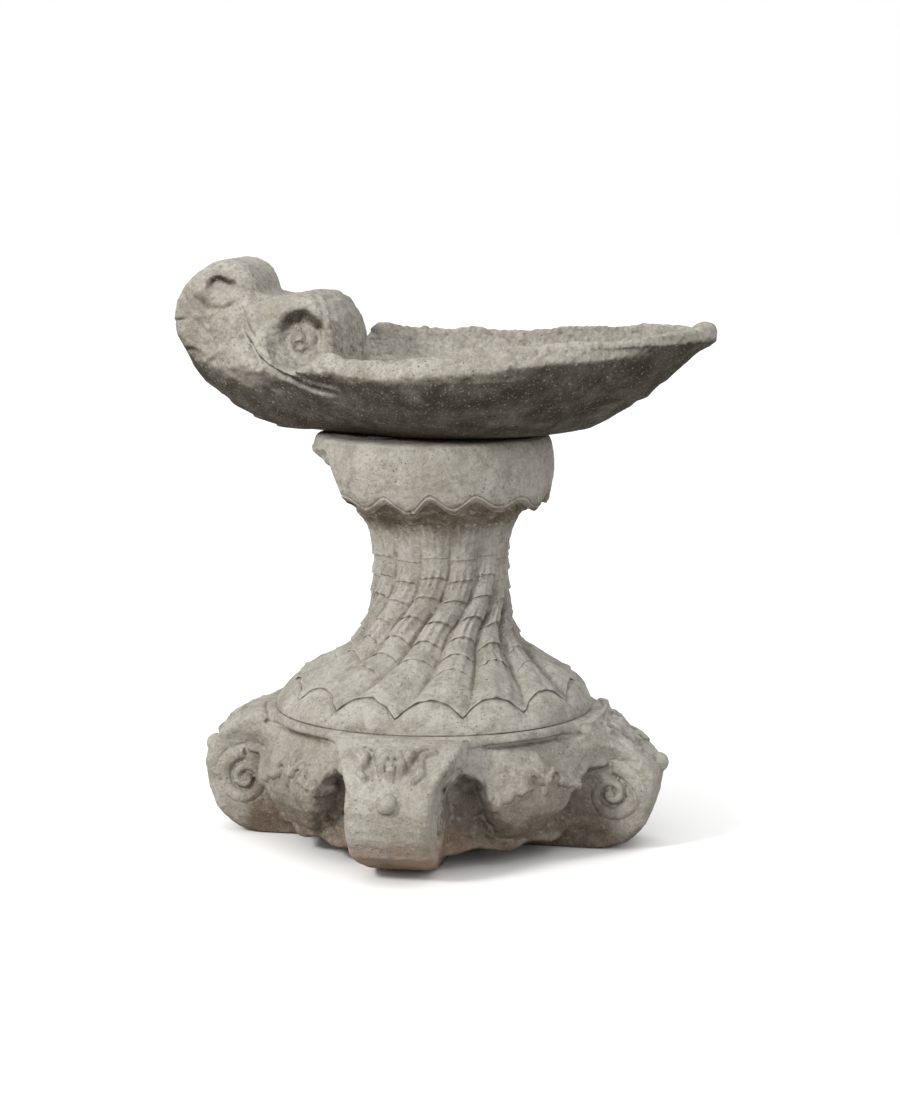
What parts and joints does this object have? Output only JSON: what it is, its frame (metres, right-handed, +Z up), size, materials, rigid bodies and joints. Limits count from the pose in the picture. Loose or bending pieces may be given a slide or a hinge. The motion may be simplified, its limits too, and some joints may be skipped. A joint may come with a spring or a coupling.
{
  "type": "bird bath",
  "caption": "Cast-stone bird bath: a curled shell bowl that turns and lifts off a pin on a swirled, ribbed stem, bedded on a base with scroll feet.",
  "frame": {"origin": "on the stem's upright axis at ground level, in the middle of the base's flat underside", "axes": "+Z up; +X along the bowl from its curled hinge end to its tip, with one scroll foot on each of +X, -X, +Y and -Y"},
  "size_m": [0.6485, 0.567, 0.69],
  "materials": {
    "cast_stone": "rough, weathered, pitted",
    "cast_stone_bowl": "rough, weathered, pitted",
    "mortar": "rough",
    "pad_rubber": "matte",
    "dowel_steel": "satin",
    "sleeve_brass": "satin",
    "bar_steel": "dull"
  },
  "bodies": {
    "stand": {"scroll_base": "cast_stone", "ribbed_stem": "cast_stone", "stem_mortar_bed": "mortar", "bowl_setting_pads": "pad_rubber", "base_dowel": "dowel_steel", "stem_dowel_sleeve": "sleeve_brass", "base_reinforcement": "bar_steel", "stem_reinforcement": "bar_steel"},
    "pin": {"bowl_dowel": "dowel_steel"},
    "bowl": {"shell_bowl": "cast_stone_bowl", "bowl_dowel_sleeve": "sleeve_brass", "bowl_reinforcement": "bar_steel"}
  },
  "joints": [
    {"name": "bowl_turn", "type": "hinge", "parent": "stand", "child": "pin", "pos_m": [0, 0, 0.487], "axis": [0, 0, 1], "continuous": true},
    {"name": "bowl_lift", "type": "slide", "parent": "pin", "child": "bowl", "axis": [0, 0, 1], "range_m": [0, 0.12]}
  ]
}
